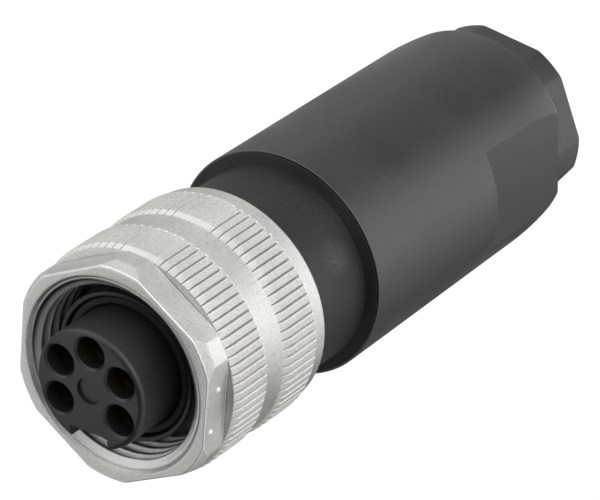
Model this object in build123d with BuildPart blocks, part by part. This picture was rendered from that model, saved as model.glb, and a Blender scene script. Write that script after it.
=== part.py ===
"""Circular cable connector, female end, with five contacts, a knurled coupling nut and a cable gland.

It stands on the flat rear end of its gland nut. Z runs up the axis to the mating face, and the keyway of
the insert faces -Y. Every height below is measured up from the gland nut's rear face.
"""
from build123d import *
import os
from math import cos, radians, sin

os.makedirs("parts", exist_ok=True)

# Clearances and edges
running = 0.05
thread_gap = 0.10
seal_gap = 0.30
seat_gap = 0.05
edge = 0.30

# Lengths along the axis
gland_head_length = 5.3
shell_length = 41.2
neck_reach = 10.3
insert_reach = 4.2
flange_length = 2.1
band_length = 6.0
groove_length = 3.5
shoulder_rise = 0.1
hex_length = 3.6

# Insert and contacts
contact_circle_radius = 4.675
contact_angles = [90, 150, 30, 210, 330]
hole_radius = 1.85
hole_chamfer = 0.25
insert_wall = 0.625
insert_edge = 0.7
keyway_width = 5.1
keyway_depth = 2.0
recess_radius = 1.6
recess_depth = 0.35
contact_recess = 3.4
contact_play = 0.25
pin_bore_radius = 1.05
pin_bore_depth = 8.0
wire_bore_radius = 0.9
wire_bore_depth = 6.0
carrier_flange_length = 2.5
carrier_seat_depth = 22.0
block_cover = 4.625
block_length = 15.0
lock_ring_length = 1.5
screw_radius = 0.9
screw_head_radius = 1.5
screw_head_height = 1.1
screw_slot = 0.4

# Spigot, collar and seal round the insert
spigot_wall = 0.85
washer_thickness = 0.8
collar_wall = 1.05
collar_length = 3.0
collar_lip = 0.72
face_seal_height = 1.2
nut_travel = 4.0

# Coupling nut
mating_space = 2.1
thread_length = 6.4
thread_relief = 0.45
relief_length = 1.4
web_length = 3.2
mouth_depth = 1.5
mouth_chamfer = 0.3
hex_wall = 1.35
hex_corner_rise = 1.2
hex_turn = 27.4
hex_chamfer_width = 0.55
hex_chamfer_length = 1.1
grip_wall = 2.75
knurl_depth = 0.38
knurl_teeth = 80
knurl_gap_share = 0.54
knurl_root_share = 0.10
rim_rear = 0.3
cone_length = 1.05
cone_drop = 0.35
pad_angle = 86.9
pad_teeth = 3
pad_drop = 0.15
skirt_wall = 1.17

# Housing
neck_fillet = 0.9
stop_rim = 0.9
stop_length = 0.5
neck_wall = 1.7
housing_tail = 10.1
tail_drop = 0.2
thread_pitch = 1.5
thread_depth = 0.7
groove_depth = 0.8
groove_width = 2.0
o_ring_section = 1.5

# Back shell
shell_wall = 1.8
shell_draft = 0.3
rear_closing = 0.55
barrel_length = 7.0
flat_depth = 1.65
flats_length = 16.0
flats_turn = 4.0
cavity_step = 0.6
gland_bore_depth = 22.8
shoulder_step = 1.5
shell_shoulder_length = 2.0

# Cable gland
seal_cable_radius = 5.0
seal_wall = 4.0
seal_head_length = 2.0
cable_play = 1.0
gland_flat_step = 0.9
gland_corner_rise = 0.75
gland_turn = 53.0
gland_thread_length = 6.5
gland_end_chamfer = 0.2
gland_mouth_chamfer = 0.6
friction_thickness = 1.0
cage_base_length = 1.5
cage_finger_length = 9.5
cage_wall = 1.0
cage_slots = 8
cage_slot_width = 1.2

# Radii worked out from the contacts outwards
contact_radius = hole_radius - contact_play
insert_radius = contact_circle_radius + hole_radius + insert_wall
keyway_roof = insert_radius - keyway_depth
block_radius = contact_circle_radius + block_cover
spigot_radius = insert_radius + spigot_wall
collar_radius = spigot_radius + collar_wall
thread_major_radius = collar_radius + mating_space
relief_radius = thread_major_radius + thread_relief
mouth_radius = thread_major_radius + thread_relief
hex_apothem = thread_major_radius + hex_wall
hex_corner_radius = hex_apothem + hex_corner_rise
hex_chamfer_radius = hex_corner_radius - hex_chamfer_width
knurl_radius = thread_major_radius + grip_wall
knurl_root_radius = knurl_radius - knurl_depth
flange_radius = knurl_radius - cone_drop
skirt_radius = knurl_root_radius - skirt_wall
neck_radius = skirt_radius - 3 * running
stop_radius = neck_radius + stop_rim
housing_bore = neck_radius - neck_wall
carrier_flange_radius = housing_bore - 2 * running
tail_thread_radius = neck_radius - tail_drop
groove_floor = tail_thread_radius - groove_depth
shell_front_radius = tail_thread_radius + shell_wall
shell_waist_radius = shell_front_radius - shell_draft
shell_rear_radius = shell_waist_radius - rear_closing
shell_flat = shell_waist_radius - flat_depth
shell_cavity_radius = tail_thread_radius - cavity_step
gland_bore_radius = seal_cable_radius + seal_wall
shell_shoulder_radius = gland_bore_radius - shoulder_step
gland_apothem = shell_flat - gland_flat_step
gland_corner_radius = gland_apothem + gland_corner_rise
gland_cable_radius = seal_cable_radius + cable_play
cage_cable_radius = seal_cable_radius + cable_play / 2
gland_part_radius = gland_bore_radius - seal_gap
seal_body_radius = gland_part_radius - cage_wall - seat_gap

# Heights worked out from the lengths
shell_rear = gland_head_length
shell_front = shell_rear + shell_length
nut_rear = shell_front + neck_reach
rear_band = nut_rear + flange_length
middle_groove = rear_band + band_length
front_band = middle_groove + groove_length
shoulder = front_band + band_length
hex_rear = shoulder + shoulder_rise
nut_front = hex_rear + hex_length
face = nut_front + insert_reach
thread_front = nut_front - mouth_depth
thread_rear = thread_front - thread_length
web_front = thread_rear - relief_length
web_rear = web_front - web_length
neck_front = web_rear - washer_thickness
collar_rear = web_front + nut_travel
collar_front = collar_rear + collar_length
spigot_front = collar_front - face_seal_height - edge
carrier_seat = face - carrier_seat_depth
carrier_rear = carrier_seat - carrier_flange_length
block_rear = carrier_rear - block_length
housing_rear = shell_front - housing_tail
gland_bore_front = shell_rear + gland_bore_depth
gland_thread_front = shell_rear + gland_thread_length
friction_rear = gland_thread_front + seat_gap
cage_rear = friction_rear + friction_thickness + seat_gap
cage_floor = cage_rear + cage_base_length
cage_front = cage_floor + cage_finger_length
seal_front = gland_bore_front - seat_gap


def knurl_outline():
    """Points round one knurled band: straight teeth with sloping flanks, and one plain pad."""
    pitch = 360 / knurl_teeth
    pad_start = pad_angle - pitch * pad_teeth / 2
    points = []
    for tooth in range(knurl_teeth):
        start = pad_start + tooth * pitch
        land_radius = knurl_radius - pad_drop if tooth < pad_teeth else knurl_radius
        gap_radius = knurl_radius - pad_drop if tooth <= pad_teeth else knurl_root_radius
        gap = pitch * knurl_gap_share / 2
        root = pitch * knurl_root_share / 2
        for radius, angle in (
            (gap_radius, start - root),
            (gap_radius, start + root),
            (land_radius, start + gap),
            (land_radius, start + pitch - gap),
        ):
            points.append((radius * cos(radians(angle)), radius * sin(radians(angle))))
    return points


def ring_grooves(radius, depth, pitch, low, high):
    """Outline points of a screw thread's ridges, drawn as rings, from the low end to the high end."""
    points = [(radius - depth, low)]
    ridges = int((high - low) / pitch)
    for ridge in range(ridges):
        base = low + ridge * pitch
        points.append((radius, base + 0.4 * pitch))
        points.append((radius, base + 0.6 * pitch))
        points.append((radius - depth, base + pitch))
    points.append((radius - depth, high))
    return points


# Coupling nut: knurled zinc casting with a truncated hexagon at its mouth
with BuildPart() as coupling_nut:
    with BuildSketch(Plane.XZ):
        with BuildLine():
            Polyline(
                (skirt_radius, nut_rear),
                (flange_radius - edge, nut_rear),
                (flange_radius, nut_rear + edge),
                (flange_radius, rear_band),
                (knurl_radius - edge / 3, rear_band),
                (knurl_radius, rear_band + rim_rear),
                (knurl_root_radius, rear_band + rim_rear),
                (knurl_root_radius, middle_groove),
                (flange_radius, middle_groove),
                (flange_radius, front_band),
                (knurl_radius - edge / 3, front_band),
                (knurl_radius, front_band + rim_rear),
                (knurl_root_radius, front_band + rim_rear),
                (knurl_root_radius, shoulder),
                (hex_apothem, hex_rear),
                (hex_apothem, nut_front),
                (mouth_radius + mouth_chamfer, nut_front),
                (mouth_radius, nut_front - mouth_chamfer),
                (mouth_radius, thread_front),
                (thread_major_radius, thread_front),
                (thread_major_radius, thread_rear),
                (relief_radius, thread_rear),
                (relief_radius, web_front),
                (spigot_radius + 2 * running, web_front),
                (spigot_radius + 2 * running, web_rear),
                (skirt_radius, web_rear),
                close=True,
            )
        make_face()
    revolve(axis=Axis.Z)
    for band_rear, band_front in ((rear_band, middle_groove), (front_band, shoulder)):
        with BuildSketch(Plane.XY.offset(band_rear + rim_rear)):
            with BuildLine():
                Polyline(*knurl_outline(), close=True)
            make_face()
            Circle((skirt_radius + knurl_root_radius) / 2, mode=Mode.SUBTRACT)
        extrude(amount=band_front - band_rear - rim_rear)
        with BuildSketch(Plane.XZ):
            with BuildLine():
                Polyline(
                    (knurl_radius, band_front - cone_length),
                    (knurl_radius + edge, band_front - cone_length),
                    (knurl_radius + edge, band_front),
                    (flange_radius, band_front),
                    close=True,
                )
            make_face()
        revolve(axis=Axis.Z, mode=Mode.SUBTRACT)
    with BuildSketch(Plane.XY.offset(shoulder)):
        RegularPolygon(hex_apothem, 6, major_radius=False, rotation=hex_turn)
        Circle(hex_corner_radius, mode=Mode.INTERSECT)
        Circle(relief_radius + edge, mode=Mode.SUBTRACT)
    extrude(amount=nut_front - shoulder)
    with BuildSketch(Plane.XZ):
        with BuildLine():
            Polyline(
                (hex_chamfer_radius, nut_front),
                (hex_corner_radius + edge, nut_front),
                (hex_corner_radius + edge, nut_front - hex_chamfer_length),
                (hex_corner_radius, nut_front - hex_chamfer_length),
                close=True,
            )
        make_face()
    revolve(axis=Axis.Z, mode=Mode.SUBTRACT)
coupling_nut.part.label = "coupling_nut"
export_step(coupling_nut.part, "parts/coupling_nut.step")

# Thrust washer between the nut's inner web and the front face of the neck
with BuildPart() as thrust_washer:
    with BuildSketch(Plane.XY.offset(neck_front + seat_gap)):
        Circle(neck_radius - edge)
        Circle(spigot_radius + 2 * running, mode=Mode.SUBTRACT)
    extrude(amount=washer_thickness - 2 * seat_gap)
thrust_washer.part.label = "thrust_washer"
export_step(thrust_washer.part, "parts/thrust_washer.step")

# Retaining collar pressed on the spigot: it stops the nut when it is pushed forward
with BuildPart() as retaining_collar:
    with BuildSketch(Plane.XZ):
        with BuildLine():
            Polyline(
                (spigot_radius, collar_rear),
                (collar_radius, collar_rear),
                (collar_radius, collar_front - edge),
                (collar_radius - edge / 2, collar_front),
                (collar_radius - collar_lip + edge / 2, collar_front),
                (collar_radius - collar_lip, collar_front - edge / 2),
                (collar_radius - collar_lip, spigot_front),
                (spigot_radius, spigot_front),
                close=True,
            )
        make_face()
    revolve(axis=Axis.Z)
retaining_collar.part.label = "retaining_collar"
export_step(retaining_collar.part, "parts/retaining_collar.step")

# Face seal that the mating shell presses on
with BuildPart() as face_seal:
    with BuildSketch(Plane.XZ):
        with BuildLine():
            Polyline(
                (insert_radius + running, spigot_front),
                (collar_radius - collar_lip - running, spigot_front),
                (collar_radius - collar_lip - running, collar_front - 2 * edge),
                (collar_radius - collar_lip - edge, collar_front - edge),
                (insert_radius + edge, collar_front - edge),
                (insert_radius + running, collar_front - 2 * edge),
                close=True,
            )
        make_face()
    revolve(axis=Axis.Z)
face_seal.part.label = "face_seal"
export_step(face_seal.part, "parts/face_seal.step")

# Front housing: spigot, neck, stop ring, seal groove and threaded tail in one moulding
seal_groove_front = shell_front - edge
seal_groove_rear = seal_groove_front - groove_width
with BuildPart() as front_housing:
    with BuildSketch(Plane.XZ):
        with BuildLine():
            Polyline(
                (housing_bore, housing_rear),
                *ring_grooves(tail_thread_radius, thread_depth, thread_pitch, housing_rear,
                              seal_groove_rear - edge),
                (tail_thread_radius, seal_groove_rear - edge),
                (tail_thread_radius, seal_groove_rear),
                (groove_floor, seal_groove_rear),
                (groove_floor, seal_groove_front),
                (tail_thread_radius, seal_groove_front),
                (tail_thread_radius, shell_front + seat_gap),
                (stop_radius - edge / 3, shell_front + seat_gap),
                (stop_radius, shell_front + edge),
                (stop_radius, shell_front + stop_length - edge / 2),
                (stop_radius - edge / 2, shell_front + stop_length),
                (neck_radius + neck_fillet / 3, shell_front + stop_length + neck_fillet / 5),
                (neck_radius, shell_front + stop_length + neck_fillet),
                (neck_radius, neck_front - edge),
                (neck_radius - edge, neck_front),
                (spigot_radius, neck_front),
                (spigot_radius, spigot_front),
                (insert_radius + running, spigot_front),
                (insert_radius + running, carrier_seat),
                (housing_bore, carrier_seat),
                close=True,
            )
        make_face()
    revolve(axis=Axis.Z)
front_housing.part.label = "front_housing"
export_step(front_housing.part, "parts/front_housing.step")

# O-ring in the housing's groove, under the front end of the back shell
with BuildPart() as shell_seal:
    with BuildSketch(Plane.XZ):
        with Locations((groove_floor + o_ring_section / 2, (seal_groove_front + seal_groove_rear) / 2)):
            Circle(o_ring_section / 2)
    revolve(axis=Axis.Z)
shell_seal.part.label = "shell_seal"
export_step(shell_seal.part, "parts/shell_seal.step")

# Contact carrier: keyed insert in front, flange on the housing's seat, terminal block behind
block_screw_height = block_rear + wire_bore_depth / 2
with BuildPart() as contact_carrier:
    with BuildSketch(Plane.XZ):
        with BuildLine():
            front_edge = Line((insert_radius, carrier_seat), (insert_radius, face - insert_edge))
            JernArc(front_edge @ 1, (0, 1), insert_edge, 90)
            Polyline(
                (insert_radius - insert_edge, face),
                (0, face),
                (0, block_rear),
                (block_radius - edge, block_rear),
                (block_radius, block_rear + edge),
                (block_radius, carrier_rear),
                (carrier_flange_radius, carrier_rear),
                (carrier_flange_radius, carrier_seat - seat_gap),
                (insert_radius, carrier_seat - seat_gap),
                (insert_radius, carrier_seat),
            )
        make_face()
    revolve(axis=Axis.Z)
    with BuildSketch(Plane.XY.offset(face)):
        with Locations((0, -keyway_roof)):
            Rectangle(keyway_width, insert_radius, align=(Align.CENTER, Align.MAX))
    extrude(amount=-(face - spigot_front), mode=Mode.SUBTRACT)
    with BuildSketch(Plane.XY.offset(face)):
        Circle(recess_radius)
    extrude(amount=-recess_depth, mode=Mode.SUBTRACT)
    for angle in contact_angles:
        with Locations(Location((contact_circle_radius * cos(radians(angle)),
                                 contact_circle_radius * sin(radians(angle)), face))):
            CounterSinkHole(hole_radius, hole_radius + hole_chamfer, depth=contact_recess,
                            counter_sink_angle=90)
            Hole(contact_radius, depth=face - block_rear)
        with Locations(Plane(origin=(contact_circle_radius * cos(radians(angle)),
                                     contact_circle_radius * sin(radians(angle)), block_screw_height),
                             x_dir=(0, 0, 1), z_dir=(cos(radians(angle)), sin(radians(angle)), 0))):
            Cylinder(screw_head_radius + running, block_radius,
                     align=(Align.CENTER, Align.CENTER, Align.MIN), mode=Mode.SUBTRACT)
contact_carrier.part.label = "contact_carrier"
export_step(contact_carrier.part, "parts/contact_carrier.step")

# Lock ring behind the carrier's flange
with BuildPart() as lock_ring:
    with BuildSketch(Plane.XY.offset(carrier_rear - seat_gap)):
        Circle(housing_bore - running)
        Circle(block_radius + running, mode=Mode.SUBTRACT)
    extrude(amount=-lock_ring_length)
lock_ring.part.label = "lock_ring"
export_step(lock_ring.part, "parts/lock_ring.step")

# Contacts and their terminal screws, one pair at each place but the keyway's
contact_front = face - contact_recess
for number, angle in enumerate(contact_angles, start=1):
    out = (cos(radians(angle)), sin(radians(angle)))
    centre = (contact_circle_radius * out[0], contact_circle_radius * out[1])
    with BuildPart() as contact_socket:
        with BuildSketch(Plane.XY.offset(contact_front)):
            with Locations(centre):
                Circle(contact_radius - running)
        extrude(amount=block_rear - contact_front)
        with Locations(Location((centre[0], centre[1], contact_front))):
            CounterSinkHole(pin_bore_radius, pin_bore_radius + edge / 2, depth=pin_bore_depth,
                            counter_sink_angle=90)
        with Locations(Location((centre[0], centre[1], block_rear), (180, 0, 0))):
            Hole(wire_bore_radius, depth=wire_bore_depth)
        with Locations(Plane(origin=(centre[0], centre[1], block_screw_height), x_dir=(0, 0, 1),
                             z_dir=(out[0], out[1], 0))):
            Cylinder(screw_radius + running, contact_radius, align=(Align.CENTER, Align.CENTER, Align.MIN),
                     mode=Mode.SUBTRACT)
    contact_socket.part.label = f"contact_socket_{number}"
    export_step(contact_socket.part, f"parts/contact_socket_{number}.step")

    screw_tip = contact_circle_radius + wire_bore_radius
    head_base = block_radius - edge - screw_head_height
    with BuildPart() as terminal_screw:
        with BuildSketch(Plane(origin=(screw_tip * out[0], screw_tip * out[1], block_screw_height),
                               x_dir=(0, 0, 1), z_dir=(out[0], out[1], 0))):
            Circle(screw_radius)
        extrude(amount=head_base - screw_tip)
        with BuildSketch(Plane(origin=(head_base * out[0], head_base * out[1], block_screw_height),
                               x_dir=(0, 0, 1), z_dir=(out[0], out[1], 0))):
            Circle(screw_head_radius)
        extrude(amount=screw_head_height)
        with BuildSketch(Plane(origin=((block_radius - edge) * out[0], (block_radius - edge) * out[1],
                                       block_screw_height), x_dir=(0, 0, 1), z_dir=(out[0], out[1], 0))):
            Rectangle(2 * screw_head_radius, screw_slot)
        extrude(amount=-screw_slot, mode=Mode.SUBTRACT)
    terminal_screw.part.label = f"terminal_screw_{number}"
    export_step(terminal_screw.part, f"parts/terminal_screw_{number}.step")

# Back shell: long barrel with a rounded rear and two wrench flats
shell_thread_radius = tail_thread_radius + thread_gap
with BuildPart() as back_shell:
    with BuildSketch(Plane.XZ):
        with BuildLine():
            side = Line((shell_front_radius, shell_front - edge / 3),
                        (shell_waist_radius, shell_rear + barrel_length))
            barrel = TangentArc(side @ 1, (shell_rear_radius, shell_rear + edge / 2), tangent=side % 1)
            Polyline(
                barrel @ 1,
                (shell_rear_radius - edge / 2, shell_rear),
                (gland_bore_radius, shell_rear),
                (gland_bore_radius, gland_bore_front),
                (shell_shoulder_radius, gland_bore_front),
                (shell_shoulder_radius, gland_bore_front + shell_shoulder_length),
                (shell_cavity_radius, gland_bore_front + shell_shoulder_length),
                (shell_cavity_radius, housing_rear - edge),
                (shell_thread_radius, housing_rear - edge),
                (shell_thread_radius, seal_groove_rear - edge),
                (groove_floor + o_ring_section + seal_gap / 2, seal_groove_rear - edge),
                (groove_floor + o_ring_section + seal_gap / 2, shell_front),
                (shell_front_radius - edge / 3, shell_front),
                side @ 0,
            )
        make_face()
    revolve(axis=Axis.Z)
    for side_turn in (flats_turn, flats_turn + 180):
        with BuildSketch(Plane.XY.offset(shell_rear).rotated((0, 0, side_turn))):
            with Locations((shell_flat, 0)):
                Rectangle(shell_front_radius, 2 * shell_front_radius, align=(Align.MIN, Align.CENTER))
        extrude(amount=flats_length, mode=Mode.SUBTRACT)
back_shell.part.label = "back_shell"
export_step(back_shell.part, "parts/back_shell.step")

# Cable seal: rubber bush that the cage squeezes on the cable
with BuildPart() as cable_seal:
    with BuildSketch(Plane.XZ):
        with BuildLine():
            Polyline(
                (seal_cable_radius, cage_floor + seat_gap),
                (seal_body_radius - edge, cage_floor + seat_gap),
                (seal_body_radius, cage_floor + seat_gap + edge),
                (seal_body_radius, cage_front + edge),
                (gland_part_radius, cage_front + 2 * edge),
                (gland_part_radius, cage_front + edge + seal_head_length),
                (shell_shoulder_radius, seal_front),
                (seal_cable_radius, seal_front),
                close=True,
            )
        make_face()
    revolve(axis=Axis.Z)
cable_seal.part.label = "cable_seal"
export_step(cable_seal.part, "parts/cable_seal.step")

# Clamping cage: a floor ring with fingers round the seal
with BuildPart() as clamp_cage:
    with BuildSketch(Plane.XZ):
        with BuildLine():
            Polyline(
                (cage_cable_radius, cage_rear),
                (gland_part_radius, cage_rear),
                (gland_part_radius, cage_front - edge),
                (gland_part_radius - edge, cage_front),
                (gland_part_radius - cage_wall, cage_front),
                (gland_part_radius - cage_wall, cage_floor),
                (cage_cable_radius, cage_floor),
                close=True,
            )
        make_face()
    revolve(axis=Axis.Z)
    with BuildSketch(Plane.XY.offset(cage_front)):
        with PolarLocations(gland_part_radius, cage_slots):
            Rectangle(4 * cage_wall, cage_slot_width)
    extrude(amount=cage_floor + edge - cage_front, mode=Mode.SUBTRACT)
clamp_cage.part.label = "clamp_cage"
export_step(clamp_cage.part, "parts/clamp_cage.step")

# Friction washer between the gland nut's end and the cage
with BuildPart() as friction_washer:
    with BuildSketch(Plane.XY.offset(friction_rear)):
        Circle(gland_part_radius)
        Circle(gland_cable_radius, mode=Mode.SUBTRACT)
    extrude(amount=friction_thickness)
friction_washer.part.label = "friction_washer"
export_step(friction_washer.part, "parts/friction_washer.step")

# Gland nut: truncated hexagonal head and a threaded spigot into the shell
gland_spigot_radius = gland_bore_radius - thread_gap
with BuildPart() as gland_nut:
    with BuildSketch():
        RegularPolygon(gland_apothem, 6, major_radius=False, rotation=gland_turn)
        Circle(gland_corner_radius, mode=Mode.INTERSECT)
    extrude(amount=shell_rear - seat_gap)
    with BuildSketch(Plane.XZ):
        with BuildLine():
            Polyline(
                (0, 0),
                (gland_corner_radius - gland_end_chamfer, 0),
                (gland_corner_radius + edge, gland_end_chamfer + edge),
                (gland_corner_radius + edge, shell_rear - seat_gap),
                (0, shell_rear - seat_gap),
                close=True,
            )
        make_face()
    revolve(axis=Axis.Z, mode=Mode.INTERSECT)
    with BuildSketch(Plane.XZ):
        with BuildLine():
            Polyline(
                (0, shell_rear - 2 * seat_gap),
                *ring_grooves(gland_spigot_radius, thread_depth, thread_pitch, shell_rear - seat_gap,
                              gland_thread_front),
                (0, gland_thread_front),
                close=True,
            )
        make_face()
    revolve(axis=Axis.Z)
    Hole(gland_cable_radius)
    with BuildSketch(Plane.XZ):
        with BuildLine():
            Polyline(
                (0, 0),
                (gland_cable_radius + gland_mouth_chamfer, 0),
                (gland_cable_radius, gland_mouth_chamfer),
                (0, gland_mouth_chamfer),
                close=True,
            )
        make_face()
    revolve(axis=Axis.Z, mode=Mode.SUBTRACT)
gland_nut.part.label = "gland_nut"
export_step(gland_nut.part, "parts/gland_nut.step")
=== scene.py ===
"""Looks of the circular plug connector: a cast and knurled coupling nut, black moulded housings and a cable gland.

Lengths are written in millimetres and put into the meshes in metres. The frame is the CAD's: the origin is the
centre of the gland nut's flat rear face, Z runs up to the mating face, and the keyway faces -Y.
"""
import math

import bmesh
import bpy
import numpy as np
from mathutils import Matrix, Vector


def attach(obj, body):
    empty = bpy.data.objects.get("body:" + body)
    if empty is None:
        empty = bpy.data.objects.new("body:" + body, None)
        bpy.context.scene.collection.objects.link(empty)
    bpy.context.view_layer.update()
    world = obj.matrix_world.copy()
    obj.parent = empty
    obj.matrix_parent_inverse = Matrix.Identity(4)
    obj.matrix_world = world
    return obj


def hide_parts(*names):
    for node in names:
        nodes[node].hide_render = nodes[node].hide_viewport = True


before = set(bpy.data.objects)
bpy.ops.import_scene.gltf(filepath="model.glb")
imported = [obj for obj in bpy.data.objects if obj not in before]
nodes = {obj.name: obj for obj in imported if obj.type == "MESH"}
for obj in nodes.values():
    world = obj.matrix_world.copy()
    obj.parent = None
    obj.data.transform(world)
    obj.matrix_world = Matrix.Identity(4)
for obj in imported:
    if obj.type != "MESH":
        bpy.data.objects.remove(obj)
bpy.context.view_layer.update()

MM = 0.001
TURN = 2 * math.pi
FAR_OUT = 99.0              # a radius beyond every piece

# Below, lengths are in millimetres and angles in degrees from +X, unless a line says otherwise.

# Coupling nut
NUT_REAR = 56.8
REAR_BAND = 58.9
MIDDLE_GROOVE = 64.9
FRONT_BAND = 68.4
SHOULDER = 74.4
NUT_FRONT = 78.1
FLANGE_RADIUS = 13.55
LAND_RADIUS = 13.9
ROOT_RADIUS = 13.52
CONE_LENGTH = 1.05
CONE_HIGHLIGHT_TURN = 130        # the cones' painted highlight is brightest towards this angle
TEETH = 80
FLANK_START = 0.04          # where a gap's flank begins, in tooth pitches from the gap's middle
FLANK_WIDTH = 0.12          # in tooth pitches
HIGHLIGHT_PLACE = 0.16           # where a tooth's painted edge highlight lies, in tooth pitches from the gap's middle
HIGHLIGHT_WIDTH = 0.06           # in tooth pitches
PAD_ANGLE = 86.9
PAD_TEETH = 3
PAD_DROP = 0.08
HEX_APOTHEM = 12.5
HEX_CORNER = 13.7
HEX_TURN = 27.4
HEX_COLUMNS = 840
HEX_WALL = 12.38            # radius of the head's hidden outside, within the sleeve
CHAMFER_RADIUS = 13.15      # radius of the chamfer cone at the nut's front
CHAMFER_SLOPE = 0.5
FOOT_HEIGHT = 0.22
FOOT_FLARE = 0.20
FOOT_TUCK = 0.10
FOOT_REACH = 13.5           # the foot flares where the hexagon is narrower than this
SKIRT_BORE = 12.35
MOUTH_RADIUS = 11.45
MOUTH_FLAT = 0.42           # width of the bore's chamfer on the front face
THREAD_RELIEF = 11.6
THREAD_MAJOR = 11.15
THREAD_MINOR = 10.3
THREAD_PITCH = 1.5875
THREAD_REAR = 70.2
THREAD_FRONT = 77.72
THREAD_TURN = 177           # at this angle a groove's middle lies at the height THREAD_PHASE
THREAD_PHASE = 76.25
THREAD_FLANK = 0.29         # in pitches
THREAD_ROWS = 104
THREAD_COLUMNS = 288
WEB_FRONT = 68.8
WEB_REAR = 65.6
WEB_BORE = 8.1
PIP_TURN = -2.6
PIP_RADIUS = 0.42
PIP_RISE = 0.20
PIP_COLUMNS = 32

# Housing
HOUSING_REAR = 36.4
HOUSING_BORE = 10.5
HOUSING_COLUMNS = 288
TAIL_RADIUS = 12.0
TAIL_PITCH = 1.5
TAIL_DEPTH = 0.7
TAIL_FLANK = 0.33           # in pitches
GROOVE_FLAT = 0.07          # half the width of a thread groove's bottom, in pitches
ROW_STEP = 0.09             # distance between rows along a thread
SEAL_GROOVE = 44.2
SEAL_GROOVE_WIDTH = 2.0
SEAL_GROOVE_RADIUS = 11.2
STOP_RING_RADIUS = 13.55
NECK_RADIUS = 12.2
NECK_FRONT = 64.8
SPIGOT_RADIUS = 8.0
SPIGOT_FRONT = 74.3
COLLAR_RADIUS = 9.05
COLLAR_REAR = 72.8
COLLAR_FRONT = 75.8
INSERT_RADIUS = 7.15
INSERT_SEAT = 60.3
FACE_SEAL_FRONT = 75.5
FACE_SEAL_RADIUS = 8.28

# Back shell
SHELL_REAR = 5.3
SHELL_FRONT = 46.5
SHELL_BARREL = 12.3         # height at which the arc towards the gland begins
SHELL_RADIUS = 13.8
SHELL_BARREL_RADIUS = 13.5
SHELL_REAR_RADIUS = 12.95
SHELL_SKIN = 12.5           # beyond this radius, a point of the barrel is on its outside
SHELL_LIP = 12.85           # radius of the bore at the front edge
SHELL_BORE = (              # radius and height of the bore's corners, from the gland to the lip
    (9.0, SHELL_REAR), (9.0, 28.1), (7.5, 28.1), (7.5, 30.1), (11.4, 30.1), (11.4, 36.1), (12.1, 36.1),
    (12.1, SEAL_GROOVE - 0.3), (SHELL_LIP, SEAL_GROOVE - 0.3),
)
SHELL_COLUMNS = 640
FLATS_APOTHEM = 11.85
FLATS_TURN = 4.0
FLATS_FRONT = 21.3
FLATS_SPAN = 0.75           # half the angle that a wrench flat may take, in radians
FLATS_ROWS = (0.16, 0.06, 0.02, -0.01, -0.04, -0.07, -0.10, -0.14, -0.25)    # rows at the step, from FLATS_FRONT

# Gland nut
GLAND_APOTHEM = 10.95
GLAND_CORNER = 11.7
GLAND_TURN = 53.0
GLAND_COLUMNS = 576
GLAND_HEAD_FRONT = 5.25
GLAND_FRONT = 11.8
GLAND_SPIGOT = 8.9
GLAND_BORE = 6.0
GLAND_ROUNDING = 0.16


# Surfaces

def closed_surface(name, body, grid, masks=None):
    """A grid of points, rows round a profile and columns round the axis, joined into quads that close both ways.

    Each mask is a value from 0 to 1 at every point, and the materials read it by its name.
    """
    rows, columns = grid.shape[:2]
    index = np.arange(rows * columns).reshape(rows, columns)
    after_row = np.roll(index, -1, 0)
    quads = np.stack([index, np.roll(index, -1, 1), np.roll(after_row, -1, 1), after_row], -1).reshape(-1, 4)
    corners = grid.reshape(-1, 3)[quads]
    volume = np.einsum("ij,ij->", corners[:, 0], np.cross(corners[:, 1], corners[:, 2]))
    volume += np.einsum("ij,ij->", corners[:, 0], np.cross(corners[:, 2], corners[:, 3]))
    if volume < 0:
        quads = quads[:, ::-1]
    mesh = bpy.data.meshes.new(name)
    mesh.vertices.add(rows * columns)
    mesh.vertices.foreach_set("co", (grid * MM).astype(np.float32).ravel())
    mesh.loops.add(quads.size)
    mesh.loops.foreach_set("vertex_index", quads.astype(np.int32).ravel())
    mesh.polygons.add(len(quads))
    mesh.polygons.foreach_set("loop_start", np.arange(0, quads.size, 4, dtype=np.int32))
    mesh.polygons.foreach_set("use_smooth", np.ones(len(quads), bool))
    for mask, values in (masks or {}).items():
        attribute = mesh.attributes.new(mask, "FLOAT", "POINT")
        attribute.data.foreach_set("value", np.broadcast_to(values, (rows, columns)).astype(np.float32).ravel())
    mesh.update(calc_edges=True)
    piece = bpy.data.objects.new(name, mesh)
    bpy.context.scene.collection.objects.link(piece)
    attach(piece, body)
    return piece


def softened(outline, radius, steps=4, guard=0.06):
    """A closed outline of (radius, height) points with each corner replaced by a quadratic curve.

    The radius is how far a curve reaches along its two sides, and a point's third value, where it has one, is its own.
    Corner P with neighbours A and B gives points from S = P + t(A-P) over the curve (1-u)^2 S + 2u(1-u) P + u^2 E
    to E = P + t(B-P), and one guard row beyond each end, which keeps the long straight spans flat in shading.
    """
    points = np.asarray([point[:2] for point in outline], float)
    sizes = np.asarray([point[2] if len(point) > 2 else radius for point in outline], float)[:, None]
    back = np.roll(points, 1, 0) - points
    ahead = np.roll(points, -1, 0) - points
    back_length = np.linalg.norm(back, axis=1, keepdims=True)
    ahead_length = np.linalg.norm(ahead, axis=1, keepdims=True)
    room = 0.42 * np.minimum(back_length, ahead_length)
    reach = np.minimum(sizes, room)
    beyond = np.minimum(reach + guard, 0.48 * np.minimum(back_length, ahead_length))
    start = points + back / back_length * reach
    end = points + ahead / ahead_length * reach
    u = np.linspace(0, 1, steps + 1)[:, None, None]
    curve = (1 - u) ** 2 * start + 2 * u * (1 - u) * points + u ** 2 * end
    first = points + back / back_length * beyond
    last = points + ahead / ahead_length * beyond
    return np.concatenate([first[None], curve, last[None]]).transpose(1, 0, 2).reshape(-1, 2)


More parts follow.
